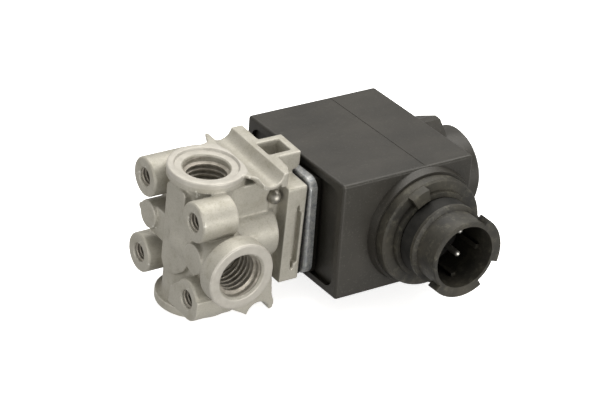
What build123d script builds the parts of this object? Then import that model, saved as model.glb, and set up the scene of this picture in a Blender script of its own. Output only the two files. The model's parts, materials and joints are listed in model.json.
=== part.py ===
from build123d import *
from math import cos, radians, sin
import os

# Solenoid directional valve: a 3/2 pneumatic valve with a die-cast body, a direct-acting
# solenoid on its rear flange and a bayonet plug socket on the coil.
#
# The valve axis is X, +X towards the rear of the coil. The origin is on that axis, in the
# plane of the four mounting bosses. The top port opens along +Z, the side port along -Y.

# ---- driving dimensions: die-cast body -------------------------------------------------
BOSS_SPACING_Y = 24.0      # mounting hole pattern
BOSS_SPACING_Z = 22.5
BOSS_R = 5.3
BOSS_LENGTH = 13.1
NEAR_BOSS_LENGTH = 10.2    # the upper boss on the side port's side is shorter
BOSS_THREAD_R = 2.5        # M5
BOSS_THREAD_DEPTH = 11.0
CORNER_BLOCK = 11.2        # length of the block round the lower near boss

PORT_THREAD_R = 6.0        # M12 x 1.5
PORT_THREAD_DEPTH = 11.0
TOP_PORT_X = 10.5
TOP_FACE_Z = 19.1
TOP_RING_R = 10.07
TOP_RING_H = 2.9
SPOT_FACE_R = 8.3
SPOT_FACE_DEPTH = 0.5
COLUMN_R = 8.7
FOOT_X = 10.1              # round foot under the column
FOOT_R = 10.2
FOOT_TOP_Z = -18.0
FOOT_BOTTOM_Z = -20.4
SIDE_PORT_X = 8.2
SIDE_FACE_Y = -23.6
SIDE_COLLAR_R = 9.18
SIDE_COLLAR_L = 5.0
SIDE_NECK_R = 7.2

DRUM_R = 7.4               # chamber wall, a stadium in section
DRUM_CENTRE_Y = 5.3
DRUM_FRONT_X = 12.0
DRUM_REAR_X = 26.0
FLANGE_FRONT_X = 27.9
FLANGE_REAR_X = 33.5
FLANGE_HALF_Y = 12.0
FLANGE_HALF_Z = 14.0

SADDLE_X = 22.1            # grooves for a tie rod, along Y, above and below the body
SADDLE_ROD_R = 3.3
SADDLE_WALL = 1.1
SADDLE_HALF_Y = 12.8
SADDLE_TOP_Z = 19.7
DECK_T = 0.9
BLOCK_TOP_Z = 15.8         # below the slots that run under the deck
BLOCK_HALF_Y = 8.5
SADDLE_AXIS_Z = 20.1
CLAW_AXIS_Z = -21.3
CLAW_TIP_Z = -21.1
CLAW_HALF_Y = 12.3

POCKET_X = (27.0, 33.5)    # square clip pocket on top of the flange
POCKET_HALF_Y = 3.0
POCKET_OUTER_X = (25.4, 35.5)
POCKET_OUTER_HALF_Y = 4.8
POCKET_LEDGE_Z = 14.7      # underside of the part that overhangs the yoke plate

# ---- driving dimensions: valve works inside the body and the guide tube -----------------
STROKE = 1.0
INLET_R = 1.75
SEAT_BASE_X = (21.5, 24.5)
SEAT_BASE_R = 2.6
SEAT_TIP_X = 27.0
SEAT_NOSE_R = 2.0
SEAT_BORE_R = 1.1
SEAT_LAND = 0.3            # width of the sealing edge on both nozzles
CHAMBER_R = 6.2
CHAMBER_X = 24.5
RECESS_R = 9.2
RECESS_X = 29.3
OUTLET_Y = -4.4
OUTLET_R = 1.5
SEAL_RING_R = 7.4
SEAL_CORD_R = 0.9
TUBE_FLANGE_T = 1.2
TUBE_FLANGE_R = 9.0
TUBE_R = 6.3
TUBE_BORE_R = 5.55
TUBE_END_X = 77.0
ARMATURE_R = 5.5
ARMATURE_X = (28.6, 52.9)
SEAL_GAP = 0.02            # sealing faces just short of touching, so no solids overlap
INLET_SEAL_R = 2.6
INLET_SEAL_X = 30.0
SPRING_POCKET_R = 3.2
SPRING_POCKET_X = 46.0
EXHAUST_SEAL_R = 2.0
EXHAUST_SEAL_X = (44.6, 48.0)
CORE_X = 54.0
CORE_R = 5.5
NOZZLE_R = 1.8
NOZZLE_BORE_R = 0.9
NOZZLE_BASE_R = 2.4
NOZZLE_BASE_END = 57.0
EXHAUST_R = 1.2
SPRING_R = 2.55
SPRING_WIRE_R = 0.22
SPRING_TURNS = 7
STUD_R = 4.0               # M8 stud that carries the retaining nut
STUD_END_X = 86.0
WASHER_T = 1.0
WASHER_R = 8.0
NUT_T = 5.0
NUT_ACROSS_FLATS = 13.0
BALL_CENTRE = (25.8, -8.8, 10.7)
BALL_R = 1.9

# ---- driving dimensions: coil group, turned a little within its play on the tube ---------
COIL_TURN = -3.45          # degrees about X
COIL_FRONT_X = 37.7
COIL_LENGTH = 40.25
COIL_HALF_Y = 22.5
COIL_HALF_Z = 16.38
COIL_EDGE_R = 0.8
COIL_RIM = 2.2
COIL_RIM_DEPTH = 1.2
PAD_HALF_Y = 11.0
PAD_HALF_Z = 13.6
PLATE_X = (34.4, 36.9)     # zinc-plated front yoke plate
PLATE_HALF_Y = 12.4
PLATE_HALF_Z = 13.9
PLATE_CORNER_R = 3.2
PLATE_EDGE_R = 0.8
RUNNING_R = 6.35           # bores that turn on the guide tube
BOBBIN_X = (39.4, 75.0)
BOBBIN_FLANGE_T = 1.4
BOBBIN_FLANGE_R = 12.0
BOBBIN_TUBE_R = 7.6
WINDING_R = 11.4
STRAP_Z = (12.3, 13.3)
STRAP_HALF_Y = 8.0
YOKE_REAR_X = 77.0
REAR_OPENING_R = 8.3
CAP_R = 11.4
CAP_LENGTH = 12.75
CAP_WALL = 1.45
CAP_WING_TOP = 14.9        # flat top of each grip wing, from the axis
CAP_WING_L = 6.7
CAP_WING_TURN = -24.4      # degrees about X
CAP_VENT_R = 1.2
CAP_VENTS = 6
CAP_VENT_RING_R = 5.6
FILTER_T = 2.0
CAP_SEAL_R = 8.95
CAP_SEAL_CORD_R = 0.55
PARTING_X = 25.5           # mould parting ridge, behind the coil's front face
RIDGE = 0.16

# ---- driving dimensions: bayonet plug socket, on the -Y side of the coil -----------------
SOCKET_X = 24.8            # behind the coil's front face
BASE_RING = ((16.2, 0.0), (15.7, 2.3))          # radius and distance out from the coil
DISC_R = 15.0
DISC_OUT = (2.3, 5.4)
STEP_R = 12.0
STEP_OUT = 6.8
SEAL_BAND_R = 10.8
COLLAR_R = 9.7
COLLAR_BORE_R = 8.5
COLLAR_RING_R = 10.9
COLLAR_RING_OUT = (11.2, 12.2)
COLLAR_OUT = 19.75
SOCKET_FLOOR_OUT = 5.6
LUG_R = 11.2
LUG_LENGTH = 3.4
LUG_SPANS = ((-20.0, 55.0), (-137.0, -57.0))     # degrees, from +X towards +Z
KEY_ANGLES = (-10.0, -82.0)
KEY_SIZE = (1.3, 1.0)
KEY_OUT = 14.5
CATCH_ANGLE = 115.0
PIN_OFFSET = 3.35
PIN_R = 0.8
PIN_TIP_OUT = 13.1
PIN_ROOT_IN = 2.5
LEAD_R = 0.5

BASE = (Align.CENTER, Align.CENTER, Align.MIN)
COIL_REAR_X = COIL_FRONT_X + COIL_LENGTH
SOCKET_AXIS_X = COIL_FRONT_X + SOCKET_X
NOZZLE_TIP_X = EXHAUST_SEAL_X[1] + STROKE + SEAL_GAP
SIDES = (-1, 1)


# ---- shape helpers ---------------------------------------------------------------------
def cyl_x(radius, x0, x1, y=0.0, z=0.0):
    """Cylinder along X from x0 to x1."""
    return Plane(origin=(x0, y, z), z_dir=(1, 0, 0)) * Cylinder(radius, x1 - x0, align=BASE)


def cyl_y(radius, y0, y1, x=0.0, z=0.0):
    """Cylinder along Y from y0 to y1."""
    return Plane(origin=(x, y0, z), z_dir=(0, 1, 0)) * Cylinder(radius, y1 - y0, align=BASE)


def cyl_z(radius, z0, z1, x=0.0, y=0.0):
    """Cylinder along Z from z0 to z1."""
    return Plane(origin=(x, y, z0), z_dir=(0, 0, 1)) * Cylinder(radius, z1 - z0, align=BASE)


def box(xs, ys, zs):
    """Box between two corners, given as pairs along X, Y and Z."""
    size = (xs[1] - xs[0], ys[1] - ys[0], zs[1] - zs[0])
    return Pos(xs[0], ys[0], zs[0]) * Box(*size, align=(Align.MIN, Align.MIN, Align.MIN))


def slab_x(xs, half_y, half_z, corner_r):
    """Plate across X with rounded corners."""
    face = Plane(origin=(xs[0], 0, 0), x_dir=(0, 1, 0), z_dir=(1, 0, 0))
    return extrude(face * RectangleRounded(2 * half_y, 2 * half_z, corner_r), xs[1] - xs[0])


def turned_x(outline):
    """Solid of revolution about X, from (x, radius) corners."""
    return revolve(make_face(Polyline(*outline, close=True)), Axis.X)


def turned_socket(outline):
    """Solid of revolution about the socket axis, from (radius, distance out) corners."""
    corners = [(radius, -COIL_HALF_Y - out) for radius, out in outline]
    return Pos(SOCKET_AXIS_X, 0, 0) * revolve(make_face(Polyline(*corners, close=True)), Axis.Y)


def socket_plane(out):
    """Plane across the socket axis, facing out; angles on it run from +X towards +Z."""
    return Plane(origin=(SOCKET_AXIS_X, -COIL_HALF_Y - out, 0), x_dir=(1, 0, 0), z_dir=(0, -1, 0))


def prism_x(outline, x0, x1):
    """Prism along X from (y, z) corners."""
    face = Plane(origin=(x0, 0, 0), x_dir=(0, 1, 0), z_dir=(1, 0, 0))
    return extrude(face * make_face(Polyline(*outline, close=True)), x1 - x0)


def prism_y(outline, half_length):
    """Prism along Y, centred, from (x, z) corners."""
    face = Plane(origin=(0, half_length, 0), x_dir=(1, 0, 0), z_dir=(0, -1, 0))
    return extrude(face * make_face(Polyline(*outline, close=True)), 2 * half_length)


def prism_z(outline, z0, z1):
    """Prism along Z from (x, y) corners."""
    return extrude(Plane.XY.offset(z0) * make_face(Polyline(*outline, close=True)), z1 - z0)


def ring_sector(inner_r, outer_r, span, thickness):
    """Part of a ring in the XY plane between two angles in degrees, thickened along Z."""
    ring = Cylinder(outer_r, thickness, align=BASE) - Cylinder(inner_r, thickness, align=BASE)
    reach = 2 * outer_r
    middle = (span[0] + span[1]) / 2
    rim = [(reach * cos(radians(a)), reach * sin(radians(a))) for a in (span[0], middle, span[1])]
    return ring & prism_z([(0, 0)] + rim, 0, thickness)


def ball(radius, centre):
    """Sphere about a point."""
    return Pos(*centre) * Sphere(radius)


# ---- die-cast body ---------------------------------------------------------------------
def boss_centres():
    """The four mounting hole centres, as (y, z)."""
    half_y = BOSS_SPACING_Y / 2
    half_z = BOSS_SPACING_Z / 2
    return [(sy * half_y, sz * half_z) for sy in (-1, 1) for sz in (-1, 1)]


def mounting_bosses():
    """Four round bosses, the block round the lower near one and the web behind them."""
    rim = 0.4
    corner_r = 4.4
    web_x = (6.5, 12.0)
    web_y = (-10.5, 13.0)
    web_half_z = 11.5
    outer_y = -BOSS_SPACING_Y / 2 - BOSS_R
    outer_z = -BOSS_SPACING_Z / 2 - BOSS_R
    block = [(outer_y, outer_z), (outer_y, -9.4), (-9.5, -8.2), (-7.4, -8.6), (-4.0, -11.8),
             (-3.6, outer_z)]
    solid = box(web_x, web_y, (-web_half_z, web_half_z))
    for y, z in boss_centres():
        length = NEAR_BOSS_LENGTH if y < 0 < z else BOSS_LENGTH
        boss = cyl_x(BOSS_R, 0, length, y, z)
        front = boss.edges().filter_by(GeomType.CIRCLE).sort_by(Axis.X)[0]
        solid += chamfer(front, rim)
    near_block = prism_x(block, 0, CORNER_BLOCK)
    corner = near_block.edges().filter_by(Axis.X).group_by(Axis.Z)[0].sort_by(Axis.Y)[0]
    return solid + fillet(corner, corner_r)


def blank_pads():
    """The two blank ejector pads between the bosses, and the far one's arm to the column."""
    far_x = 0.9
    near_x = 0.8
    rear_x = 8.0
    arm_x = (2.0, 10.0)
    far = cyl_x(3.8, far_x, rear_x, 10.6, 0.9)
    stub = cyl_x(0.9, far_x, 5.0, 14.3, 1.4)
    near = cyl_x(4.0, near_x, rear_x, -11.9, 0.4)
    return far + stub + near + box(arm_x, (0.0, 11.0), (-4.0, 4.2))


def column_flat():
    """Flat front of the column, its web towards the near bosses and the step under the web."""
    front_x = 1.6
    step_x = 3.0
    rear_x = 7.0
    outline = [(3.8, -8.2), (3.8, 13.6), (2.6, 15.0), (-4.2, 15.0), (-4.9, 14.2), (-4.9, 10.6),
               (-7.4, 8.4), (-9.2, 5.6), (-9.2, -0.4), (-8.6, -3.6), (-6.8, -6.6), (-4.4, -8.6),
               (-2.7, -9.6), (2.4, -10.4)]
    step = box((step_x, rear_x), (-10.0, 0.0), (-11.0, 0.0))
    return prism_x(outline, front_x, rear_x) + step


def port_column():
    """Upright column with the top port ring and the round foot."""
    ring = cyl_z(TOP_RING_R, TOP_FACE_Z - TOP_RING_H, TOP_FACE_Z, TOP_PORT_X)
    column = cyl_z(COLUMN_R, FOOT_TOP_Z, TOP_FACE_Z - TOP_RING_H, TOP_PORT_X)
    foot = cyl_z(FOOT_R, FOOT_BOTTOM_Z, FOOT_TOP_Z, FOOT_X)
    return chamfer(ring.edges().group_by(Axis.Z)[-1], 0.25) + column + foot


def side_port_boss():
    """Collar and neck of the side port."""
    collar = cyl_y(SIDE_COLLAR_R, SIDE_FACE_Y, SIDE_FACE_Y + SIDE_COLLAR_L, SIDE_PORT_X)
    neck = cyl_y(SIDE_NECK_R, SIDE_FACE_Y + SIDE_COLLAR_L, 0, SIDE_PORT_X)
    return chamfer(collar.edges().group_by(Axis.Y)[0], 0.35) + neck


def chamber_block():
    """Drum round the armature chamber, the block above it and the neck to the flange."""
    block_x = (13.6, 24.6)
    slot_front_x = 15.3
    core_half_y = 4.5
    neck_x = (24.0, FLANGE_FRONT_X)
    neck_half_y = 7.7
    neck_z = (-11.5, 13.8)
    solid = box((DRUM_FRONT_X, DRUM_REAR_X), (-DRUM_CENTRE_Y, DRUM_CENTRE_Y), (-DRUM_R, DRUM_R))
    for side in SIDES:
        solid += cyl_x(DRUM_R, DRUM_FRONT_X, DRUM_REAR_X, side * DRUM_CENTRE_Y, 0)
    solid += box(block_x, (-BLOCK_HALF_Y, BLOCK_HALF_Y), (0, BLOCK_TOP_Z))
    solid += box((block_x[0], slot_front_x), (-BLOCK_HALF_Y, BLOCK_HALF_Y), (0, TOP_FACE_Z))
    solid += box(block_x, (-core_half_y, core_half_y), (0, TOP_FACE_Z - DECK_T))
    return solid + box(neck_x, (-neck_half_y, neck_half_y), neck_z)


def coil_flange():
    """Square flange that carries the coil, with a pointed pocket in each side."""
    corner_r = 0.7
    core_half_y = FLANGE_HALF_Y - 2.0
    core_x = (29.0, 34.0)
    pocket = [(30.8, -8.4), (31.3, -12.2), (31.7, -8.9), (32.6, -8.6),
              (32.6, 6.2), (32.0, 6.6), (31.6, 10.6), (31.1, 6.9), (30.8, 6.5)]
    solid = box((FLANGE_FRONT_X, FLANGE_REAR_X), (-FLANGE_HALF_Y, FLANGE_HALF_Y),
                (-FLANGE_HALF_Z, FLANGE_HALF_Z))
    solid = fillet(solid.edges().filter_by(Axis.X), corner_r)
    core = box(core_x, (-core_half_y, core_half_y), (-FLANGE_HALF_Z, FLANGE_HALF_Z))
    return solid - (prism_y(pocket, FLANGE_HALF_Y + 1) - core)


def top_saddle():
    """Deck beside the top port and the trough for the tie rod, with its tall rear wall."""
    near = [(12.0, -8.6), (14.6, -7.4), (15.4, -7.4), (19.3, -12.0), (20.0, -12.8)]
    far = [(20.0, 12.8), (19.5, 13.4), (18.3, 13.8), (16.5, 9.8), (12.0, 8.6)]
    wall = [(25.0, -SADDLE_HALF_Y), (26.6, -SADDLE_HALF_Y), (28.1, -10.1), (28.6, -5.0),
            (28.6, 7.0), (28.8, SADDLE_HALF_Y), (25.0, SADDLE_HALF_Y)]
    wall_bottom_z = 15.7
    eased_half_y = 9.4
    outer_r = SADDLE_ROD_R + SADDLE_WALL
    trough = cyl_y(outer_r, -SADDLE_HALF_Y, SADDLE_HALF_Y, SADDLE_X, SADDLE_AXIS_Z)
    below = box((SADDLE_X - outer_r, SADDLE_X + outer_r), (-SADDLE_HALF_Y, SADDLE_HALF_Y),
                (SADDLE_AXIS_Z - outer_r, TOP_FACE_Z))
    corner = [(15.4, -7.4), (19.3, -12.0), (19.9, -14.0), (12.0, -14.0), (12.0, -7.4)]
    trough = (trough & below) - prism_z(corner, 0, SADDLE_TOP_Z + 1)
    solid = prism_z(near + far, TOP_FACE_Z - DECK_T, TOP_FACE_Z) + trough
    eased = prism_y([(18.4, TOP_FACE_Z), (19.6, TOP_FACE_Z + 0.2), (19.6, 17.9)], eased_half_y)
    return solid - eased + prism_z(wall, wall_bottom_z, SADDLE_TOP_Z)


def clip_pocket():
    """Square pocket that stands on the flange behind the saddle wall."""
    front_x, rear_x = POCKET_OUTER_X
    root_z = FLANGE_HALF_Z - 0.5
    outline = [(front_x, 15.4), (FLANGE_FRONT_X, root_z), (FLANGE_REAR_X, root_z),
               (FLANGE_REAR_X, POCKET_LEDGE_Z), (rear_x - 0.6, POCKET_LEDGE_Z),
               (rear_x, POCKET_LEDGE_Z + 1.2), (rear_x, SADDLE_TOP_Z), (front_x, SADDLE_TOP_Z)]
    return prism_y(outline, POCKET_OUTER_HALF_Y)


def bottom_saddle():
    """Web under the chamber that ends in two claws round the lower tie rod."""
    outline = [(11.0, -7.0), (12.7, -16.2), (13.6, -17.9), (17.0, -19.9), (18.8, CLAW_TIP_Z),
               (25.4, CLAW_TIP_Z), (26.5, CLAW_TIP_Z + 0.4), (26.8, -18.8), (26.0, -16.6),
               (25.0, -7.0)]
    return prism_y(outline, CLAW_HALF_Y)


def rod_grooves():
    """The two round grooves that clear the tie rods."""
    reach = SADDLE_HALF_Y + 1
    upper = cyl_y(SADDLE_ROD_R, -reach, reach, SADDLE_X, SADDLE_AXIS_Z)
    lower = cyl_y(SADDLE_ROD_R, -reach, reach, SADDLE_X, CLAW_AXIS_Z)
    return upper + lower


def passages():
    """Threaded ports and the drilled ways between them, the chamber and the tube recess."""
    top_floor = TOP_FACE_Z - PORT_THREAD_DEPTH
    side_floor = SIDE_FACE_Y + PORT_THREAD_DEPTH
    inlet_drill_r = 2.2
    side_drill_r = 2.4
    side_drill_end_y = -3.6
    solid = cyl_z(SPOT_FACE_R, TOP_FACE_Z - SPOT_FACE_DEPTH, TOP_FACE_Z + 1, TOP_PORT_X)
    solid += cyl_z(PORT_THREAD_R, top_floor, TOP_FACE_Z + 1, TOP_PORT_X)
    solid += cyl_z(inlet_drill_r, -INLET_R, top_floor, TOP_PORT_X)
    solid += cyl_y(PORT_THREAD_R, SIDE_FACE_Y - 1, side_floor, SIDE_PORT_X)
    solid += cyl_y(side_drill_r, side_floor, side_drill_end_y, SIDE_PORT_X)
    solid += cyl_x(OUTLET_R, SIDE_PORT_X, CHAMBER_X, OUTLET_Y)
    solid += cyl_x(INLET_R, TOP_PORT_X, SEAT_BASE_X[0])
    solid += cyl_x(SEAT_BASE_R, SEAT_BASE_X[0], SEAT_BASE_X[1])
    solid += cyl_x(CHAMBER_R, CHAMBER_X, RECESS_X)
    solid += cyl_x(RECESS_R, RECESS_X, FLANGE_REAR_X)
    for y, z in boss_centres():
        solid += cyl_x(BOSS_THREAD_R, -1, BOSS_THREAD_DEPTH, y, z)
    return solid


def valve_body():
    """The whole casting."""
    solid = mounting_bosses() + blank_pads() + port_column() + column_flat() + side_port_boss()
    solid += chamber_block()
    solid += coil_flange()
    solid += top_saddle()
    solid += clip_pocket()
    solid += bottom_saddle()
    solid -= rod_grooves()
    solid -= box(POCKET_X, (-POCKET_HALF_Y, POCKET_HALF_Y), (FLANGE_HALF_Z, SADDLE_TOP_Z + 1))
    solid -= passages()
    return solid - ball(BALL_R, BALL_CENTRE)


# ---- valve works -----------------------------------------------------------------------
def inlet_seat():
    """Brass nozzle pressed into the inlet way; the armature's front seal closes it."""
    nose_x = SEAT_TIP_X - 0.6
    return turned_x([(SEAT_BASE_X[0], SEAT_BORE_R), (SEAT_BASE_X[0], SEAT_BASE_R),
                     (SEAT_BASE_X[1], SEAT_BASE_R), (SEAT_BASE_X[1], SEAT_NOSE_R),
                     (nose_x, SEAT_NOSE_R), (SEAT_TIP_X, SEAT_BORE_R + SEAT_LAND),
                     (SEAT_TIP_X, SEAT_BORE_R)])


def o_ring_x(ring_r, cord_r, x):
    """O-ring about the valve axis."""
    return Plane(origin=(x, 0, 0), z_dir=(1, 0, 0)) * Torus(ring_r, cord_r)


def guide_tube():
    """Thin stainless tube with a clamping flange at its front."""
    flange_x = RECESS_X + 2 * SEAL_CORD_R
    return turned_x([(flange_x, TUBE_BORE_R), (flange_x, TUBE_FLANGE_R),
                     (flange_x + TUBE_FLANGE_T, TUBE_FLANGE_R), (flange_x + TUBE_FLANGE_T, TUBE_R),
                     (TUBE_END_X, TUBE_R), (TUBE_END_X, TUBE_BORE_R)])


def tube_collar():
    """Threaded ring that clamps the tube flange in the recess, with two spanner holes."""
    front = RECESS_X + 2 * SEAL_CORD_R + TUBE_FLANGE_T
    inner_r = TUBE_R + 0.2
    hole_r = 0.8
    ring = turned_x([(front, inner_r), (front, RECESS_R), (FLANGE_REAR_X, RECESS_R),
                     (FLANGE_REAR_X, inner_r)])
    for side in SIDES:
        ring -= cyl_x(hole_r, front, FLANGE_REAR_X, side * (inner_r + RECESS_R) / 2)
    return ring


def flange_gasket():
    """Flat gasket between the flange and the coil's front plate."""
    margin = 0.5
    corner_r = 1.5
    xs = (FLANGE_REAR_X, PLATE_X[0] - 0.1)
    plate = slab_x(xs, FLANGE_HALF_Y - margin, FLANGE_HALF_Z - margin, corner_r)
    return plate - cyl_x(TUBE_R + 0.5, FLANGE_REAR_X - 1, PLATE_X[0])


def fixed_core():
    """Steel pole piece that closes the rear of the tube and ends in the stud."""
    shoulder = 0.6
    return turned_x([(CORE_X, NOZZLE_BASE_R), (CORE_X, CORE_R), (TUBE_END_X, CORE_R),
                     (TUBE_END_X, STUD_R), (STUD_END_X - shoulder, STUD_R),
                     (STUD_END_X, STUD_R - shoulder), (STUD_END_X, EXHAUST_R),
                     (NOZZLE_BASE_END, EXHAUST_R), (NOZZLE_BASE_END, NOZZLE_BASE_R)])


def exhaust_seat():
    """Brass nozzle pressed into the pole piece; the armature's rear seal closes it."""
    return turned_x([(NOZZLE_TIP_X, NOZZLE_BORE_R), (NOZZLE_TIP_X, NOZZLE_BORE_R + SEAT_LAND),
                     (NOZZLE_TIP_X + 0.5, NOZZLE_R), (CORE_X, NOZZLE_R), (CORE_X, NOZZLE_BASE_R),
                     (NOZZLE_BASE_END, NOZZLE_BASE_R), (NOZZLE_BASE_END, NOZZLE_BORE_R)])


def armature():
    """Sliding plunger with a seal pocket in front, a spring pocket behind and two air grooves."""
    rim = 0.4
    groove_half = 0.8
    groove_depth = 0.8
    solid = cyl_x(ARMATURE_R, *ARMATURE_X)
    solid = chamfer(solid.edges().filter_by(GeomType.CIRCLE), rim)
    solid -= cyl_x(INLET_SEAL_R, ARMATURE_X[0], INLET_SEAL_X)
    solid -= cyl_x(SPRING_POCKET_R, SPRING_POCKET_X, ARMATURE_X[1])
    solid -= cyl_x(EXHAUST_SEAL_R, EXHAUST_SEAL_X[0], SPRING_POCKET_X)
    for side in SIDES:
        ys = sorted((side * (ARMATURE_R - groove_depth), side * (ARMATURE_R + 1)))
        solid -= box(ARMATURE_X, ys, (-groove_half, groove_half))
    return solid


def inlet_seal():
    """Rubber disc in the armature's front pocket."""
    return cyl_x(INLET_SEAL_R, SEAT_TIP_X + SEAL_GAP, INLET_SEAL_X)


def exhaust_seal():
    """Rubber disc in the armature's rear pocket, one stroke short of its nozzle."""
    return cyl_x(EXHAUST_SEAL_R, *EXHAUST_SEAL_X)


def return_spring():
    """Coil spring between the armature and the pole piece."""
    x0 = SPRING_POCKET_X + SPRING_WIRE_R
    x1 = CORE_X - SPRING_WIRE_R
    helix = Helix((x1 - x0) / SPRING_TURNS, x1 - x0, SPRING_R)
    wire = sweep(Plane(origin=helix @ 0, z_dir=helix % 0) * Circle(SPRING_WIRE_R), helix)
    return Plane(origin=(x0, 0, 0), z_dir=(1, 0, 0)) * wire


def spring_washer():
    """Washer between the rear yoke and the retaining nut."""
    washer = cyl_x(WASHER_R, TUBE_END_X + 0.05, TUBE_END_X + WASHER_T)
    return washer - cyl_x(STUD_R, TUBE_END_X, STUD_END_X)


def retaining_nut():
    """Hexagon nut that holds the coil on the tube."""
    front = TUBE_END_X + WASHER_T
    rear = front + NUT_T
    corner_r = NUT_ACROSS_FLATS / 2 / cos(radians(30))
    eased_r = corner_r - 1.0
    hexagon = Plane(origin=(front, 0, 0), z_dir=(1, 0, 0)) * RegularPolygon(corner_r, 6)
    envelope = turned_x([(front, 0), (front, corner_r), (rear - 0.6, corner_r), (rear, eased_r),
                         (rear, 0)])
    return (extrude(hexagon, NUT_T) & envelope) - cyl_x(STUD_R, front, rear)


def sealing_ball():
    """Steel ball pressed into the side of the casting to close a drilling."""
    return ball(BALL_R, BALL_CENTRE)


# ---- coil group, built square to the body and turned at the end -------------------------
def yoke_plate():
    """Zinc-plated front plate of the magnet frame, with rolled front edges."""
    plate = slab_x(PLATE_X, PLATE_HALF_Y, PLATE_HALF_Z, PLATE_CORNER_R)
    plate = fillet(plate.faces().sort_by(Axis.X)[0].edges(), PLATE_EDGE_R)
    return plate - cyl_x(RUNNING_R, PLATE_X[0] - 1, PLATE_X[1] + 1)


def bobbin():
    """Plastic former of the winding."""
    x0, x1 = BOBBIN_X
    inner = RUNNING_R
    return turned_x([(x0, inner), (x0, BOBBIN_FLANGE_R), (x0 + BOBBIN_FLANGE_T, BOBBIN_FLANGE_R),
                     (x0 + BOBBIN_FLANGE_T, BOBBIN_TUBE_R), (x1 - BOBBIN_FLANGE_T, BOBBIN_TUBE_R),
                     (x1 - BOBBIN_FLANGE_T, BOBBIN_FLANGE_R), (x1, BOBBIN_FLANGE_R), (x1, inner)])


def winding():
    """Copper winding, as one ring."""
    x0 = BOBBIN_X[0] + BOBBIN_FLANGE_T
    x1 = BOBBIN_X[1] - BOBBIN_FLANGE_T
    return cyl_x(WINDING_R, x0, x1) - cyl_x(BOBBIN_TUBE_R, x0, x1)


def yoke_frame():
    """U-shaped steel yoke: two straps beside the winding and the rear plate."""
    return yoke_room() - cyl_x(RUNNING_R, BOBBIN_X[1] - 1, YOKE_REAR_X + 1)


def coil_housing():
    """Moulded housing: recessed front with a pad, base of the socket and room for the magnet."""
    recess_x = (COIL_FRONT_X - 1, COIL_FRONT_X + COIL_RIM_DEPTH)
    recess_corner_r = 3.0
    base_out = BASE_RING[1][1]
    solid = box((COIL_FRONT_X, COIL_REAR_X), (-COIL_HALF_Y, COIL_HALF_Y),
                (-COIL_HALF_Z, COIL_HALF_Z))
    solid = fillet(solid.edges(), COIL_EDGE_R)
    solid += turned_socket([(0, 0), BASE_RING[0], BASE_RING[1], (0, base_out)])
    solid -= slab_x(recess_x, COIL_HALF_Y - COIL_RIM, COIL_HALF_Z - COIL_RIM, recess_corner_r)
    solid += box((PLATE_X[1], recess_x[1]), (-PAD_HALF_Y, PAD_HALF_Y), (-PAD_HALF_Z, PAD_HALF_Z))
    solid += parting_ridges()
    solid -= yoke_room()
    solid -= cyl_x(RUNNING_R, PLATE_X[1] - 1, BOBBIN_X[0])
    solid -= cyl_x(BOBBIN_FLANGE_R, *BOBBIN_X)
    solid -= cyl_x(REAR_OPENING_R, YOKE_REAR_X, COIL_REAR_X + 1)
    for x, z in pin_places():
        solid -= cyl_y(PIN_R, -COIL_HALF_Y - base_out, -COIL_HALF_Y + PIN_ROOT_IN, x, z)
        solid -= cyl_y(LEAD_R, -COIL_HALF_Y, -WINDING_R + 1, x, z)
    return solid


def parting_ridges():
    """Fine mould ridges across the top and bottom of the housing."""
    x = COIL_FRONT_X + PARTING_X
    half_y = COIL_HALF_Y - COIL_EDGE_R
    zs = (COIL_HALF_Z - RIDGE, COIL_HALF_Z + RIDGE / 2)
    top = box((x - RIDGE, x + RIDGE), (-half_y, half_y), zs)
    return top + mirror(top, Plane.XY)


def yoke_room():
    """Space in the housing for the yoke frame."""
    z0, z1 = STRAP_Z
    ys = (-STRAP_HALF_Y, STRAP_HALF_Y)
    solid = box((BOBBIN_X[1], YOKE_REAR_X), ys, (-z1, z1))
    for side in SIDES:
        solid += box((PLATE_X[1], YOKE_REAR_X), ys, sorted((side * z0, side * z1)))
    return solid


def pin_places():
    """The two contacts, as (x, z)."""
    return [(SOCKET_AXIS_X + PIN_OFFSET, side * PIN_OFFSET) for side in SIDES]


def socket_ring(inner_r, outer_r, span, out_near, out_far):
    """Part of a ring about the socket axis."""
    return socket_plane(out_near) * ring_sector(inner_r, outer_r, span, out_far - out_near)


def socket_keys(outer_r, out_far):
    """The two keys on the wall of the bore, from the bottom of the socket to out_far."""
    half = KEY_SIZE[0] / 2
    key = box((COLLAR_BORE_R - KEY_SIZE[1], outer_r), (-half, half), (0, out_far - DISC_OUT[0]))
    keys = Part()
    for angle in KEY_ANGLES:
        keys += socket_plane(DISC_OUT[0]) * Rot(0, 0, angle) * key
    return keys


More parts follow.
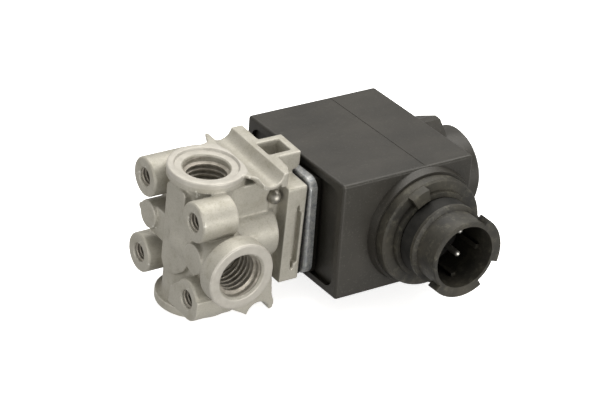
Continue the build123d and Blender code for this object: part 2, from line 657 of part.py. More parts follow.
def connector_shell():
    """Bayonet collar of the plug socket with its flange disc, lugs, keys and catch."""
    disc_rim = 0.5
    mouth_rim = 0.3
    catch_half_angle = 10
    ring_near, ring_far = COLLAR_RING_OUT
    solid = turned_socket([(COLLAR_BORE_R, DISC_OUT[0]), (DISC_R, DISC_OUT[0]),
                           (DISC_R, DISC_OUT[1] - disc_rim), (DISC_R - disc_rim, DISC_OUT[1]),
                           (STEP_R, DISC_OUT[1]), (STEP_R, STEP_OUT), (COLLAR_R, STEP_OUT),
                           (COLLAR_R, ring_near), (COLLAR_RING_R, ring_near),
                           (COLLAR_RING_R, ring_far), (COLLAR_R, ring_far + 0.4),
                           (COLLAR_R, COLLAR_OUT - mouth_rim),
                           (COLLAR_R - mouth_rim, COLLAR_OUT), (COLLAR_BORE_R, COLLAR_OUT)])
    for span in LUG_SPANS:
        solid += socket_ring(COLLAR_R - 0.4, LUG_R, span, COLLAR_OUT - LUG_LENGTH, COLLAR_OUT)
    solid += socket_keys(COLLAR_BORE_R + 0.3, KEY_OUT)
    catch_span = (CATCH_ANGLE - catch_half_angle, CATCH_ANGLE + catch_half_angle)
    catch = socket_ring(STEP_R - 0.5, DISC_R - 0.2, catch_span, DISC_OUT[1] - 0.5, STEP_OUT + 0.8)
    return solid + catch


def connector_seal():
    """Rubber band on the neck of the collar that seals the plug."""
    ring_near = COLLAR_RING_OUT[0]
    return turned_socket([(COLLAR_R, STEP_OUT), (SEAL_BAND_R, STEP_OUT + 0.3),
                          (SEAL_BAND_R - 0.2, ring_near - 0.3), (COLLAR_R, ring_near)])


def contact_carrier():
    """Insulating insert at the bottom of the socket."""
    solid = turned_socket([(0, DISC_OUT[0]), (COLLAR_BORE_R, DISC_OUT[0]),
                           (COLLAR_BORE_R, SOCKET_FLOOR_OUT), (0, SOCKET_FLOOR_OUT)])
    solid -= socket_keys(COLLAR_BORE_R + 1, KEY_OUT)
    for x, z in pin_places():
        solid -= cyl_y(PIN_R, -COIL_HALF_Y - SOCKET_FLOOR_OUT, -COIL_HALF_Y, x, z)
    return solid


def contact_pins():
    """Two round contacts with domed tips."""
    tip_y = -COIL_HALF_Y - PIN_TIP_OUT + PIN_R
    pins = Part()
    for x, z in pin_places():
        pins += cyl_y(PIN_R, tip_y, -COIL_HALF_Y + PIN_ROOT_IN, x, z)
        pins += ball(PIN_R, (x, tip_y, z))
    return pins


def terminal_leads():
    """Two leads from the contacts to the winding."""
    reach = (WINDING_R ** 2 - (PIN_OFFSET - LEAD_R) ** 2) ** 0.5
    leads = Part()
    for x, z in pin_places():
        leads += cyl_y(LEAD_R, -COIL_HALF_Y + PIN_ROOT_IN, -reach, x, z)
    return leads


def cap_wing():
    """Grip wing of the cap, with a flat top and sloped ends."""
    x0 = COIL_REAR_X
    x1 = x0 + CAP_WING_L
    outline = [(9.0, 6.0), (7.1, 13.9), (5.1, CAP_WING_TOP), (-3.1, CAP_WING_TOP), (-5.1, 13.9),
               (-6.9, 8.9)]
    return prism_x(outline, x0, x1) - cyl_x(CAP_R - 0.7, x0, x1)


def exhaust_cap():
    """Round vented cap behind the coil with two grip wings."""
    x0 = COIL_REAR_X
    x1 = x0 + CAP_LENGTH
    rim = 1.0
    inner_r = CAP_R - CAP_WALL
    solid = turned_x([(x0, inner_r), (x0, CAP_R), (x1 - rim, CAP_R), (x1, CAP_R - rim), (x1, 0),
                      (x1 - CAP_WALL, 0), (x1 - CAP_WALL, inner_r)])
    for turn in (0, 180):
        solid += cap_wing().rotate(Axis.X, CAP_WING_TURN + turn)
    face = Plane(origin=(x0, 0, 0), z_dir=(1, 0, 0))
    vent = Cylinder(CAP_VENT_R, CAP_LENGTH + 1, align=BASE)
    for place in PolarLocations(CAP_VENT_RING_R, CAP_VENTS):
        solid -= face * place * vent
    return solid


def exhaust_filter():
    """Sintered disc behind the vents of the cap."""
    x1 = COIL_REAR_X + CAP_LENGTH - CAP_WALL
    return cyl_x(CAP_R - CAP_WALL, x1 - FILTER_T, x1)


def cap_seal():
    """O-ring in the corner between the cap and the housing."""
    return o_ring_x(CAP_SEAL_R, CAP_SEAL_CORD_R, COIL_REAR_X + CAP_SEAL_CORD_R)


BODY_PIECES = {
    "valve_body": valve_body,
    "sealing_ball": sealing_ball,
    "inlet_seat": inlet_seat,
    "body_seal": lambda: o_ring_x(SEAL_RING_R, SEAL_CORD_R, RECESS_X + SEAL_CORD_R),
    "guide_tube": guide_tube,
    "tube_collar": tube_collar,
    "flange_gasket": flange_gasket,
    "fixed_core": fixed_core,
    "exhaust_seat": exhaust_seat,
    "spring_washer": spring_washer,
    "retaining_nut": retaining_nut,
    "armature": armature,
    "inlet_seal": inlet_seal,
    "exhaust_seal": exhaust_seal,
    "return_spring": return_spring,
}
COIL_PIECES = {
    "yoke_plate": yoke_plate,
    "yoke_frame": yoke_frame,
    "bobbin": bobbin,
    "winding": winding,
    "coil_housing": coil_housing,
    "connector_shell": connector_shell,
    "connector_seal": connector_seal,
    "contact_carrier": contact_carrier,
    "contact_pins": contact_pins,
    "terminal_leads": terminal_leads,
    "exhaust_cap": exhaust_cap,
    "exhaust_filter": exhaust_filter,
    "cap_seal": cap_seal,
}

os.makedirs("parts", exist_ok=True)
for name, make in BODY_PIECES.items():
    export_step(make(), f"parts/{name}.step")
for name, make in COIL_PIECES.items():
    export_step(make().rotate(Axis.X, COIL_TURN), f"parts/{name}.step")
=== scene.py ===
"""Looks of the solenoid directional valve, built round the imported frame."""
import json
import math
from collections import namedtuple

import bpy
import numpy as np
from mathutils import Matrix, Vector


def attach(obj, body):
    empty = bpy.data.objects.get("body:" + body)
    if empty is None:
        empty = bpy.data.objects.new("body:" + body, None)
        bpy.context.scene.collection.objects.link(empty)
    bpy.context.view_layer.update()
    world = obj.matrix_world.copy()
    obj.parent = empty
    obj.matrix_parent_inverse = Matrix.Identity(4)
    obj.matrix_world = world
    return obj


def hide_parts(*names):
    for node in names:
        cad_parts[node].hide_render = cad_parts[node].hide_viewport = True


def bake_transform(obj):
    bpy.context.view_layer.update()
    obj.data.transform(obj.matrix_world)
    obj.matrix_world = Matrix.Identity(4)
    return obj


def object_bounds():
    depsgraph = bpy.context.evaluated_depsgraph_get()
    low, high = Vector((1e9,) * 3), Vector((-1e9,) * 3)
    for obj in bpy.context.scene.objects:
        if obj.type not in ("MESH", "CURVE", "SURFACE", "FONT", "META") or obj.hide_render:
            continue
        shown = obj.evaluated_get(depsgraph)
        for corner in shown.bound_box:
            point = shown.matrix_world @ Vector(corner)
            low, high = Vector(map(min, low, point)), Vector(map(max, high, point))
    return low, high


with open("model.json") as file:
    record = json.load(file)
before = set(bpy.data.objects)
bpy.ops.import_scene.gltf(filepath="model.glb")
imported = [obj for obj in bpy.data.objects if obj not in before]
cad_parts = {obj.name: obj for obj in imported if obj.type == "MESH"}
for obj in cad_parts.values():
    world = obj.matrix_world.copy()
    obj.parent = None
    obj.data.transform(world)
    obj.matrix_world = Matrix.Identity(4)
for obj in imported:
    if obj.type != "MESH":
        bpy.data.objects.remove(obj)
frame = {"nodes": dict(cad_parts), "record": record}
cad_low, cad_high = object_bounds()
MM = 0.001
SCENE = bpy.context.scene
NODES = frame["nodes"]
MOUNTS = {mount["name"]: mount for mount in frame["record"]["mounts"]}


# ---- camera ----------------------------------------------------------------------------
CAMERA_PLACE = Vector((-0.2912, -0.4524, 0.3335))
CAMERA_ANGLES = (-35.11, 27.83, 4.20)      # azimuth, elevation and roll, in degrees from the coil
COIL_TURN = -3.45                          # degrees about X: the coil sits this far off square
CAMERA_LENS = 151.2
CAMERA_SENSOR = 36
CAMERA_NEAR = 0.01


def add_camera():
    """Long lens, looking down on the near corner between the front and the side port."""
    azimuth, elevation, roll = (math.radians(angle) for angle in CAMERA_ANGLES)
    tilt = Matrix.Rotation(math.radians(COIL_TURN), 3, "X")
    back = Vector((math.sin(azimuth) * math.cos(elevation),
                   -math.cos(azimuth) * math.cos(elevation), math.sin(elevation)))
    level = Vector((math.cos(azimuth), math.sin(azimuth), 0))
    upright = back.cross(level)
    right = math.cos(roll) * level + math.sin(roll) * upright
    up = math.cos(roll) * upright - math.sin(roll) * level
    turn = Matrix((tilt @ right, tilt @ up, tilt @ back)).transposed().to_4x4()
    lens = bpy.data.cameras.new("camera")
    lens.lens = CAMERA_LENS
    lens.sensor_width = CAMERA_SENSOR
    lens.clip_start = CAMERA_NEAR
    camera = bpy.data.objects.new("camera", lens)
    camera.matrix_world = Matrix.Translation(CAMERA_PLACE) @ turn
    SCENE.collection.objects.link(camera)
    SCENE.camera = camera


# ---- material building blocks ------------------------------------------------------------
class Shader:
    """A Principled material with short ways to add its procedural detail."""

    def __init__(self, name, **constants):
        self.material = bpy.data.materials.new(name)
        self.material.use_nodes = True
        self.tree = self.material.node_tree
        self.surface = self.tree.nodes["Principled BSDF"]
        self.height = None
        for socket, value in constants.items():
            self.surface.inputs[socket.replace("_", " ")].default_value = value
        self.place = self.node("ShaderNodeTexCoord").outputs["Object"]

    def node(self, kind, **settings):
        """Add a node and set its own properties."""
        made = self.tree.nodes.new(kind)
        for key, value in settings.items():
            setattr(made, key, value)
        return made

    def link(self, output, target):
        self.tree.links.new(output, target)

    def noise(self, per_metre, detail=3.0, roughness=0.55, stretch=(1, 1, 1)):
        """Noise value; per_metre is how many features fit in a metre."""
        mapping = self.node("ShaderNodeMapping")
        mapping.inputs["Scale"].default_value = stretch
        self.link(self.place, mapping.inputs["Vector"])
        made = self.node("ShaderNodeTexNoise")
        self.link(mapping.outputs["Vector"], made.inputs["Vector"])
        made.inputs["Scale"].default_value = per_metre
        made.inputs["Detail"].default_value = detail
        made.inputs["Roughness"].default_value = roughness
        return made.outputs["Fac"]

    def ramp(self, value, low, high, at=(0.0, 1.0)):
        """Map a value to between two numbers or two colours."""
        made = self.node("ShaderNodeMapRange", data_type="FLOAT", clamp=True)
        made.inputs["From Min"].default_value = at[0]
        made.inputs["From Max"].default_value = at[1]
        self.link(value, made.inputs["Value"])
        if isinstance(low, tuple):
            return self.mix(made.outputs["Result"], low, high)
        made.inputs["To Min"].default_value = low
        made.inputs["To Max"].default_value = high
        return made.outputs["Result"]

    def mix(self, factor, first, second, blend="MIX"):
        """Mix two colours; each is a colour tuple or another node's output."""
        made = self.node("ShaderNodeMix", data_type="RGBA", blend_type=blend)
        if isinstance(factor, float):
            made.inputs["Factor"].default_value = factor
        else:
            self.link(factor, made.inputs["Factor"])
        for socket, colour in ((made.inputs[6], first), (made.inputs[7], second)):
            if isinstance(colour, tuple):
                socket.default_value = (*colour, 1.0)
            else:
                self.link(colour, socket)
        return made.outputs[2]

    def set(self, socket, output):
        self.link(output, self.surface.inputs[socket])

    def bump(self, value, depth, strength=1.0):
        """Add one more layer of relief, depth in metres."""
        made = self.node("ShaderNodeBump")
        made.inputs["Strength"].default_value = strength
        made.inputs["Distance"].default_value = depth
        self.link(value, made.inputs["Height"])
        if self.height is not None:
            self.link(self.height, made.inputs["Normal"])
        self.height = made.outputs["Normal"]
        self.link(self.height, self.surface.inputs["Normal"])

    def pointiness(self, crease, edge):
        """0 in creases, 1 on outer edges."""
        geometry = self.node("ShaderNodeNewGeometry")
        return self.ramp(geometry.outputs["Pointiness"], 0.0, 1.0, (crease, edge))


RECESS_REACH = 14 * MM           # how far off a wall still shades a recess
RECESS_OPENNESS = (0.2, 0.75)    # from fully shaded to fully open
# The colour multiplied in deep inside recesses, and the gloss left there, are painted shade.
RECESS_PAINTED_SHADE = (0.18, 0.175, 0.16)
RECESS_GLOSS = 0.2               # share of the gloss left deep inside


def paint_recess_shade(m, colour, gloss):
    """Paint shade into recesses: base colour and gloss both set lower deep inside them."""
    # Painted shade: ambient occlusion darkens the base colour and dims the gloss deep inside recesses.
    open_air = m.node("ShaderNodeAmbientOcclusion", samples=8)
    open_air.inputs["Distance"].default_value = RECESS_REACH
    shade = m.ramp(open_air.outputs["AO"], RECESS_PAINTED_SHADE, (1.0, 1.0, 1.0), RECESS_OPENNESS)
    m.set("Base Color", m.mix(1.0, colour, shade, "MULTIPLY"))
    dimmed = m.ramp(open_air.outputs["AO"], RECESS_GLOSS * gloss, gloss, RECESS_OPENNESS)
    m.set("Specular IOR Level", dimmed)


def cast_aluminium():
    """Shot-blasted die casting: warm grey, grainy, with painted shade in creases and lighter on outer
    edges.
    """
    m = Shader("cast_aluminium", Metallic=0.3, Specular_IOR_Level=0.5)
    warm = m.ramp(m.noise(120, 4.0), (0.385, 0.370, 0.322), (0.455, 0.438, 0.386), (0.3, 0.7))
    speck = m.ramp(m.noise(2600, 2.0), (0.86, 0.86, 0.84), (1.0, 1.0, 1.0), (0.34, 0.50))
    colour = m.mix(1.0, warm, speck, "MULTIPLY")
    stain = m.ramp(m.noise(260, 5.0, 0.7), (0.84, 0.83, 0.79), (1.0, 1.0, 1.0), (0.36, 0.50))
    colour = m.mix(0.7, colour, stain, "MULTIPLY")
    # Painted shade: pointiness darkens the colour in creases and hollows.
    crease = m.ramp(m.pointiness(0.43, 0.495), (0.40, 0.37, 0.30), (1.0, 1.0, 1.0))
    colour = m.mix(0.9, colour, crease, "MULTIPLY")
    # Lighter colour on outer edges, from pointiness.
    edge = m.pointiness(0.52, 0.60)
    colour = m.mix(edge, colour, (0.62, 0.61, 0.56))
    turned = m.ramp(m.noise(500, 4.0), (0.45, 0.43, 0.39), (0.53, 0.51, 0.465), (0.3, 0.7))
    machined = m.node("ShaderNodeAttribute", attribute_name="machined").outputs["Fac"]
    m.set("Base Color", m.mix(m.ramp(machined, 0.0, 0.8), colour, turned))
    m.set("Roughness", m.ramp(m.noise(900, 3.0), 0.38, 0.56, (0.3, 0.7)))
    m.bump(m.noise(1500, 4.0, 0.6), 0.00007, 0.5)
    m.bump(m.noise(320, 2.0), 0.00018, 0.35)
    return m.material


def machined_aluminium():
    """Cut thread flanks: matt beige with fine turning lines."""
    m = Shader("machined_aluminium", Metallic=0.35)
    colour = m.ramp(m.noise(700, 3.0), (0.25, 0.23, 0.19), (0.44, 0.41, 0.36), (0.3, 0.7))
    m.set("Base Color", colour)
    m.set("Roughness", m.ramp(m.noise(1200, 2.0), 0.38, 0.52))
    m.bump(m.noise(1800, 3.0), 0.00004, 0.5)
    return m.material


def zinc_plate():
    """Zinc plating with bluish blotches and small worn specks."""
    m = Shader("zinc_plate", Metallic=0.6)
    blotch = m.ramp(m.noise(900, 4.0, 0.7), (0.25, 0.265, 0.275), (0.40, 0.40, 0.39), (0.40, 0.58))
    fine = m.ramp(m.noise(3200, 2.0), (0.78, 0.79, 0.80), (1.0, 1.0, 1.0), (0.35, 0.55))
    m.set("Base Color", m.mix(1.0, blotch, fine, "MULTIPLY"))
    m.set("Roughness", m.ramp(m.noise(1400, 3.0), 0.34, 0.54, (0.35, 0.65)))
    m.bump(m.noise(1300, 3.0), 0.00007, 0.5)
    return m.material


def steel(name, dark, light, roughness):
    """Bare or plated steel with fine drawn lines along X."""
    m = Shader(name, Metallic=1.0)
    m.set("Base Color", m.ramp(m.noise(900, 3.0, stretch=(0.12, 1, 1)), dark, light, (0.3, 0.7)))
    m.set("Roughness", m.ramp(m.noise(1500, 2.0), roughness - 0.06, roughness + 0.08))
    m.bump(m.noise(2200, 2.0, stretch=(0.1, 1, 1)), 0.00003, 0.4)
    return m.material


def black_plastic():
    """Glass-filled black moulding: semi-matt, with faint flow marks, dust and scuffs."""
    m = Shader("black_plastic")
    flow = m.ramp(m.noise(55, 4.0, stretch=(1.0, 2.2, 1.0)), (0.019, 0.0178, 0.0143),
                  (0.036, 0.033, 0.027), (0.3, 0.7))
    dust = m.ramp(m.noise(2000, 2.0), 0.0, 0.20, (0.60, 0.72))
    # Painted shade: darker and less glossy deep in recesses.
    paint_recess_shade(m, m.mix(dust, flow, (0.16, 0.15, 0.13)), 0.45)
    m.set("Roughness", m.ramp(m.noise(160, 5.0), 0.36, 0.50, (0.3, 0.7)))
    m.bump(m.noise(2600, 2.0), 0.00004, 0.35)
    m.bump(m.noise(150, 2.0), 0.00025, 0.12)
    return m.material


def shell_plastic():
    """Dusty black-brown moulding of the plug socket."""
    m = Shader("shell_plastic")
    tone = m.ramp(m.noise(120, 4.0), (0.016, 0.015, 0.012), (0.046, 0.042, 0.031), (0.35, 0.65))
    dust = m.ramp(m.noise(500, 5.0, 0.75), 0.0, 0.45, (0.52, 0.72))
    # Painted shade: darker and less glossy deep in recesses, such as the socket interior.
    paint_recess_shade(m, m.mix(dust, tone, (0.15, 0.142, 0.105)), 0.5)
    m.set("Roughness", m.ramp(m.noise(400, 4.0), 0.44, 0.60))
    m.bump(m.noise(1900, 3.0), 0.00005, 0.45)
    return m.material


def dark_plastic():
    """Near-black insulating insert."""
    m = Shader("dark_plastic", Specular_IOR_Level=0.25)
    m.set("Base Color", m.ramp(m.noise(300, 3.0), (0.005, 0.005, 0.0045), (0.012, 0.011, 0.010)))
    m.set("Roughness", m.ramp(m.noise(500, 2.0), 0.50, 0.62))
    m.bump(m.noise(1500, 2.0), 0.00004, 0.3)
    return m.material


def bobbin_plastic():
    """Natural glass-filled nylon."""
    m = Shader("bobbin_plastic")
    m.set("Base Color", m.ramp(m.noise(200, 3.0), (0.45, 0.40, 0.30), (0.58, 0.53, 0.42)))
    m.set("Roughness", m.ramp(m.noise(500, 2.0), 0.42, 0.55))
    m.bump(m.noise(1800, 2.0), 0.00004, 0.4)
    return m.material


def rubber():
    """Matt black rubber with a light bloom."""
    m = Shader("rubber")
    bloom = m.ramp(m.noise(350, 4.0), (0.006, 0.006, 0.005), (0.016, 0.015, 0.013), (0.35, 0.7))
    # Painted shade: darker and less glossy deep in recesses.
    paint_recess_shade(m, bloom, 0.3)
    m.set("Roughness", m.ramp(m.noise(700, 2.0), 0.55, 0.72))
    m.bump(m.noise(2400, 3.0), 0.00004, 0.5)
    return m.material


def copper_winding():
    """Enamelled wire: bands round X, one for each turn."""
    m = Shader("copper_winding", Metallic=0.9, Roughness=0.32)
    wave = m.node("ShaderNodeTexWave", wave_type="BANDS", bands_direction="X")
    m.link(m.place, wave.inputs["Vector"])
    wave.inputs["Scale"].default_value = 900
    m.set("Base Color", m.ramp(wave.outputs["Fac"], (0.20, 0.06, 0.025), (0.74, 0.34, 0.17)))
    m.bump(wave.outputs["Fac"], 0.00015, 0.8)
    return m.material


def yellow_metal(name, dark, light, roughness, grain):
    """Brass or sintered bronze."""
    m = Shader(name, Metallic=1.0)
    m.set("Base Color", m.ramp(m.noise(grain, 4.0), dark, light, (0.35, 0.65)))
    m.set("Roughness", m.ramp(m.noise(grain, 2.0), roughness - 0.05, roughness + 0.1))
    m.bump(m.noise(grain, 3.0), 0.00008, 0.5)
    return m.material


def silver_contact():
    """Polished silver-plated contact."""
    m = Shader("silver_contact", Metallic=0.6)
    # Painted shade: the pins get darker and less glossy down in the socket.
    paint_recess_shade(m, m.ramp(m.noise(900, 3.0), (0.80, 0.79, 0.75), (0.97, 0.96, 0.93)), 0.5)
    m.set("Roughness", m.ramp(m.noise(1500, 2.0), 0.34, 0.46))
    m.bump(m.noise(2500, 2.0), 0.00002, 0.3)
    return m.material


SLOT_MATERIALS = {
    "die_cast": cast_aluminium(),
    "zinc_steel": zinc_plate(),
    "stainless": steel("stainless", (0.40, 0.39, 0.36), (0.54, 0.52, 0.49), 0.42),
    "magnet_steel": steel("magnet_steel", (0.26, 0.25, 0.22), (0.40, 0.385, 0.35), 0.48),
    "brass": yellow_metal("brass", (0.50, 0.33, 0.10), (0.72, 0.52, 0.20), 0.26, 900),
    "spring_steel": steel("spring_steel", (0.30, 0.31, 0.32), (0.48, 0.49, 0.50), 0.32),
    "rubber": rubber(),
    "black_plastic": black_plastic(),
    "shell_plastic": shell_plastic(),
    "carrier_plastic": dark_plastic(),
    "bobbin_plastic": bobbin_plastic(),
    "copper": copper_winding(),
    "contact_metal": silver_contact(),
    "sintered": yellow_metal("sintered", (0.20, 0.13, 0.06), (0.48, 0.34, 0.18), 0.50, 2600),
}
MACHINED = machined_aluminium()


def dress_nodes():
    """Give every CAD node the material of its slot."""
    slots = {part["node"]: part["material_slot"] for part in frame["record"]["subparts"]}
    for name, node in NODES.items():
        node.data.materials.clear()
        node.data.materials.append(SLOT_MATERIALS[slots[name]])


# ---- cast body ---------------------------------------------------------------------------
PORT_PITCH = 1.5 * MM
BOSS_PITCH = 0.8 * MM
BOSS_HOLE_LENGTH = 10.5 * MM
VOXEL = 0.22 * MM
SMOOTH_ROUNDS = 16
SMOOTH_STEP = 0.5
EDGE_SHARE = 0.22                # how much an outer edge wears while a hollow fills fully
TURNED_R = 10.4 * MM             # the turned faces round the ports reach this far
TURNED_WEIGHT = 0.06
TOP_FACE_BAND = 0.9 * MM
SIDE_FACE_DEPTH = 0.5 * MM
BORE_MARGIN = 0.3 * MM
SPOT_FACE_STEPS = (((6.2 * MM, 8.2 * MM), -0.25 * MM), ((8.35 * MM, 9.7 * MM), 0.5 * MM))
LEVEL_REACH = 0.45 * MM
COUNTERSINK_SHARE = 0.4          # of the pitch
COUNTERSINK_INWARD = 0.2 * MM
COUNTERSINK_ABOVE = 0.15 * MM

Hole = namedtuple("Hole", "name mouth axis radius length pitch")


def new_object(name, mesh):
    made = bpy.data.objects.new(name, mesh)
    SCENE.collection.objects.link(made)
    return made


def evaluated(piece, name):
    """The piece's mesh with its modifiers applied."""
    bpy.context.view_layer.update()
    graph = bpy.context.evaluated_depsgraph_get()
    mesh = bpy.data.meshes.new_from_object(piece.evaluated_get(graph))
    mesh.name = name
    return mesh


def rows(items, field, width, kind=float):
    """One property of every mesh item, as the rows of an array."""
    values = np.zeros(len(items) * width, kind)
    items.foreach_get(field, values)
    return values.reshape(-1, width)


def threaded_holes():
    """The threaded holes of the body: top port, side port and the four bosses."""
    return [port_hole(name) for name in ("top_port", "side_port")] + boss_holes()


def port_hole(name):
    """A threaded port, from its mount; the axis points out of the mouth."""
    mount = MOUNTS[name]
    axis = Vector(mount["axis"])
    length = mount["dims"]["length_mm"] * MM
    mouth = Vector(mount["pos_m"]) + axis * length / 2
    return Hole(name, mouth, axis, mount["dims"]["r_mm"] * MM, length, PORT_PITCH)


def boss_holes():
    """The four threaded mounting holes, from their pattern."""
    pattern = MOUNTS["mounting_bosses"]
    dims = pattern["dims"]
    axis = Vector(pattern["axis"])
    holes = []
    for number in range(4):
        side_y = (-1, 1)[number % 2] * dims["spacing_x_mm"] * MM / 2
        side_z = (-1, 1)[number // 2] * dims["spacing_y_mm"] * MM / 2
        mouth = Vector(pattern["pos_m"]) + Vector((0, side_y, side_z))
        radius = dims["hole_r_mm"] * MM
        holes.append(Hole(f"boss_{number + 1}", mouth, axis, radius, BOSS_HOLE_LENGTH, BOSS_PITCH))
    return holes


def hole_coordinates(points, hole):
    """Distance from a hole's axis, depth below its mouth and the vector from the axis, for each point."""
    offset = points - np.array(hole.mouth)
    depth = -offset @ np.array(hole.axis)
    across = offset + depth[:, None] * np.array(hole.axis)
    return np.linalg.norm(across, axis=1), depth, across


def smooth(points, normals, edges, weight):
    """Move every point towards the average of its neighbours, as far as its weight says.

    Hollows fill more than edges wear down, as they do in a casting.
    """
    count = np.bincount(edges.ravel(), minlength=len(points))[:, None]
    for _ in range(SMOOTH_ROUNDS):
        total = np.zeros_like(points)
        np.add.at(total, edges[:, 0], points[edges[:, 1]])
        np.add.at(total, edges[:, 1], points[edges[:, 0]])
        move = total / count - points
        hollow = (move * normals).sum(axis=1) > 0
        share = weight * np.where(hollow, 1.0, EDGE_SHARE)
        points = points + SMOOTH_STEP * share[:, None] * move
    return points


def level(points, hole, radii, height):
    """Press the ring between two radii onto a plane that far above a hole's mouth."""
    from_axis, depth, _ = hole_coordinates(points, hole)
    gap = -depth - height
    near = (from_axis > radii[0]) & (from_axis < radii[1]) & (np.abs(gap) < LEVEL_REACH)
    moved = points.copy()
    moved[near] -= gap[near][:, None] * np.array(hole.axis)
    return moved


def countersink(points, hole):
    """Press the rim of a hole onto a 45 degree cone."""
    size = COUNTERSINK_SHARE * hole.pitch
    from_axis, depth, across = hole_coordinates(points, hole)
    inside = (size - (from_axis - hole.radius) - depth) / 2
    near = (inside > 0) & (from_axis > hole.radius - COUNTERSINK_INWARD)
    near &= (depth > -COUNTERSINK_ABOVE) & (depth < size)
    outward = across[near] / from_axis[near][:, None]
    moved = points.copy()
    moved[near] += inside[near][:, None] * (outward - np.array(hole.axis))
    return moved


def remeshed(source, name):
    """A copy of a node as one skin of small, even faces."""
    piece = new_object(name, source.data.copy())
    remesh = piece.modifiers.new("remesh", "REMESH")
    remesh.mode = "VOXEL"
    remesh.voxel_size = VOXEL
    mesh = evaluated(piece, name)
    piece.modifiers.clear()
    piece.data = mesh
    return piece


def smoothing_weights(points, holes):
    """1 on cast skin, little on the turned faces round the ports and nothing in the holes."""
    weight = np.ones(len(points))
    top, side = holes[:2]
    from_axis, depth, _ = hole_coordinates(points, top)
    weight[(from_axis < TURNED_R) & (np.abs(depth) < TOP_FACE_BAND)] = TURNED_WEIGHT
    from_axis, depth, _ = hole_coordinates(points, side)
    weight[(from_axis < TURNED_R) & (depth < SIDE_FACE_DEPTH)] = TURNED_WEIGHT
    for hole in holes:
        from_axis, depth, _ = hole_coordinates(points, hole)
        in_hole = (from_axis < hole.radius + BORE_MARGIN) & (depth < hole.length + hole.pitch)
        weight[in_hole] = 0.0
    return weight


def cast_body(holes):
    """The casting with the soft corners of a die casting and crisp machined faces."""
    piece = remeshed(NODES["valve_body"], "body_casting")
    mesh = piece.data
    points = rows(mesh.vertices, "co", 3)
    weight = smoothing_weights(points, holes)
    normals = rows(mesh.vertex_normals, "vector", 3)
    points = smooth(points, normals, rows(mesh.edges, "vertices", 2, int), weight)
    for radii, height in SPOT_FACE_STEPS:
        points = level(points, holes[0], radii, height)
    for hole in holes:
        points = countersink(points, hole)
    mesh.vertices.foreach_set("co", points.ravel())
    turned = (weight == TURNED_WEIGHT).astype(float)
    mesh.attributes.new("machined", "FLOAT", "POINT").data.foreach_set("value", turned)
    mesh.update()
    mesh.shade_smooth()
    mesh.materials.clear()
    mesh.materials.append(SLOT_MATERIALS["die_cast"])
    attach(piece, "valve")
    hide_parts("valve_body")


# ---- threads and spring --------------------------------------------------------------------
THREAD_STEPS = 72                # rings in one turn
THREAD_HEIGHT = 0.541            # this and the five below are shares of the pitch or of a turn
THREAD_START = 0.75
THREAD_CUT = 0.9
THREAD_RUN_OUT = 0.3
ROOT_HALF = 0.44
CREST_HALF = 0.13
ROOT_SUNK = 0.06 * MM            # the ridge's foot lies this far inside the bore's wall


def thread_profile(hole, fade):
    """The ridge's section as pairs of radius and place along the axis, in pitches."""
    root_r = hole.radius + ROOT_SUNK
    crest_r = hole.radius - THREAD_HEIGHT * hole.pitch * fade
    return (root_r, -ROOT_HALF), (crest_r, -CREST_HALF), (crest_r, CREST_HALF), (root_r, ROOT_HALF)


def thread_points(hole, rings):
    """Four points for each ring along the helix, from the mouth inwards."""
    side = hole.axis.orthogonal().normalized()
    other = hole.axis.cross(side)
    points = []
    for ring in range(rings + 1):
        angle = 2 * math.pi * ring / THREAD_STEPS
        fade = min(1.0, ring / THREAD_STEPS, (rings - ring) / (THREAD_RUN_OUT * THREAD_STEPS))
        middle = (THREAD_START + ring / THREAD_STEPS) * hole.pitch
        outward = side * math.cos(angle) + other * math.sin(angle)
        for radius, along in thread_profile(hole, fade):
            points.append(hole.mouth + outward * radius - hole.axis * (middle + along * hole.pitch))
    return points


def thread_faces(rings):
    """Sides between each ring and the next, and a cap at both ends."""
    faces = []
    for start in range(0, 4 * rings, 4):
        for corner in range(4):
            a = start + corner
            b = start + (corner + 1) % 4
            faces.append((a, a + 4, b + 4, b))
    last = 4 * rings
    return faces + [(0, 1, 2, 3), (last + 3, last + 2, last + 1, last)]


def thread(hole):
    """Helical ridge of an internal thread, fading in at the mouth and out at the end."""
    name = f"thread_{hole.name}"
    turns = (hole.length - THREAD_CUT * hole.pitch) / hole.pitch
    rings = int(turns * THREAD_STEPS)
    mesh = bpy.data.meshes.new(name)
    mesh.from_pydata([tuple(point) for point in thread_points(hole, rings)], [], thread_faces(rings))
    mesh.update()
    mesh.materials.append(MACHINED)
    piece = new_object(name, mesh)
    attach(piece, "valve")


def return_spring():
    """The spring as a copy of its CAD mesh, which it replaces."""
    piece = new_object("spring_coils", NODES["return_spring"].data.copy())
    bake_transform(piece)
    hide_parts("return_spring")


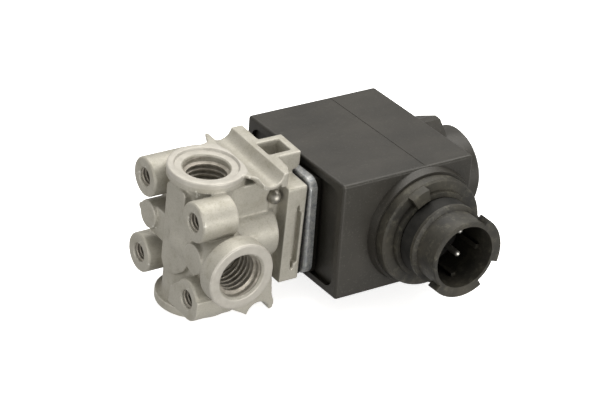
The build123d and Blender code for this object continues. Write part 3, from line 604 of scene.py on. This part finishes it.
# ---- stage -------------------------------------------------------------------------------
FLOOR_HALF = 3.0
FLOOR_GAP = 0.2 * MM
FLOOR_GLOW = 0.75
WARM = (1.0, 0.975, 0.93)
ROOM_COLOUR = (1.0, 0.98, 0.95, 1)
ROOM_STRENGTH = 0.48
SOFTBOXES = {                    # place from the part's middle, size and watts
    "overhead": (Vector((0.20, 0.15, 0.8)), (1.1, 1.0), 10.0),
    "side": (Vector((0.10, -0.95, 0.0)), (0.7, 0.6), 10.0),
    "front": (Vector((-0.9, -0.20, 0.10)), (0.5, 0.4), 2.6),
}


def add_floor():
    """Plain white floor just under the part; it throws no light back up at it."""
    mesh = bpy.data.meshes.new("floor")
    z = cad_low.z - FLOOR_GAP
    sides = ((-1, -1), (1, -1), (1, 1), (-1, 1))
    corners = [(x * FLOOR_HALF, y * FLOOR_HALF, z) for x, y in sides]
    mesh.from_pydata(corners, [], [(0, 1, 2, 3)])
    m = Shader("floor_white", Roughness=0.9, Specular_IOR_Level=0.1,
               Emission_Color=(1, 1, 1, 1), Emission_Strength=FLOOR_GLOW)
    m.set("Base Color", m.ramp(m.noise(30, 2.0), (0.90, 0.90, 0.90), (0.93, 0.93, 0.93)))
    mesh.materials.append(m.material)
    floor = new_object("floor", mesh)
    floor.visible_diffuse = False
    floor.visible_glossy = False


def softbox(name, place, aim, size, power):
    """Rectangular light aimed at a point."""
    lamp = bpy.data.lights.new(name, "AREA")
    lamp.shape = "RECTANGLE"
    lamp.size, lamp.size_y = size
    lamp.energy = power
    lamp.color = WARM
    made = bpy.data.objects.new(name, lamp)
    made.location = place
    made.rotation_euler = (Vector(aim) - Vector(place)).to_track_quat("-Z", "Y").to_euler()
    SCENE.collection.objects.link(made)


def add_lights():
    """Large overhead softbox, softer ones at the side and the front, and a dim white room."""
    middle = (cad_low + cad_high) / 2
    for name, (offset, size, power) in SOFTBOXES.items():
        softbox(name, middle + offset, middle, size, power)
    world = bpy.data.worlds.new("room")
    world.use_nodes = True
    background = world.node_tree.nodes["Background"]
    background.inputs["Color"].default_value = ROOM_COLOUR
    background.inputs["Strength"].default_value = ROOM_STRENGTH
    SCENE.world = world
    SCENE.view_settings.view_transform = "Standard"


add_camera()
dress_nodes()
threads = threaded_holes()
cast_body(threads)
for hole in threads:
    thread(hole)
return_spring()
add_floor()
add_lights()
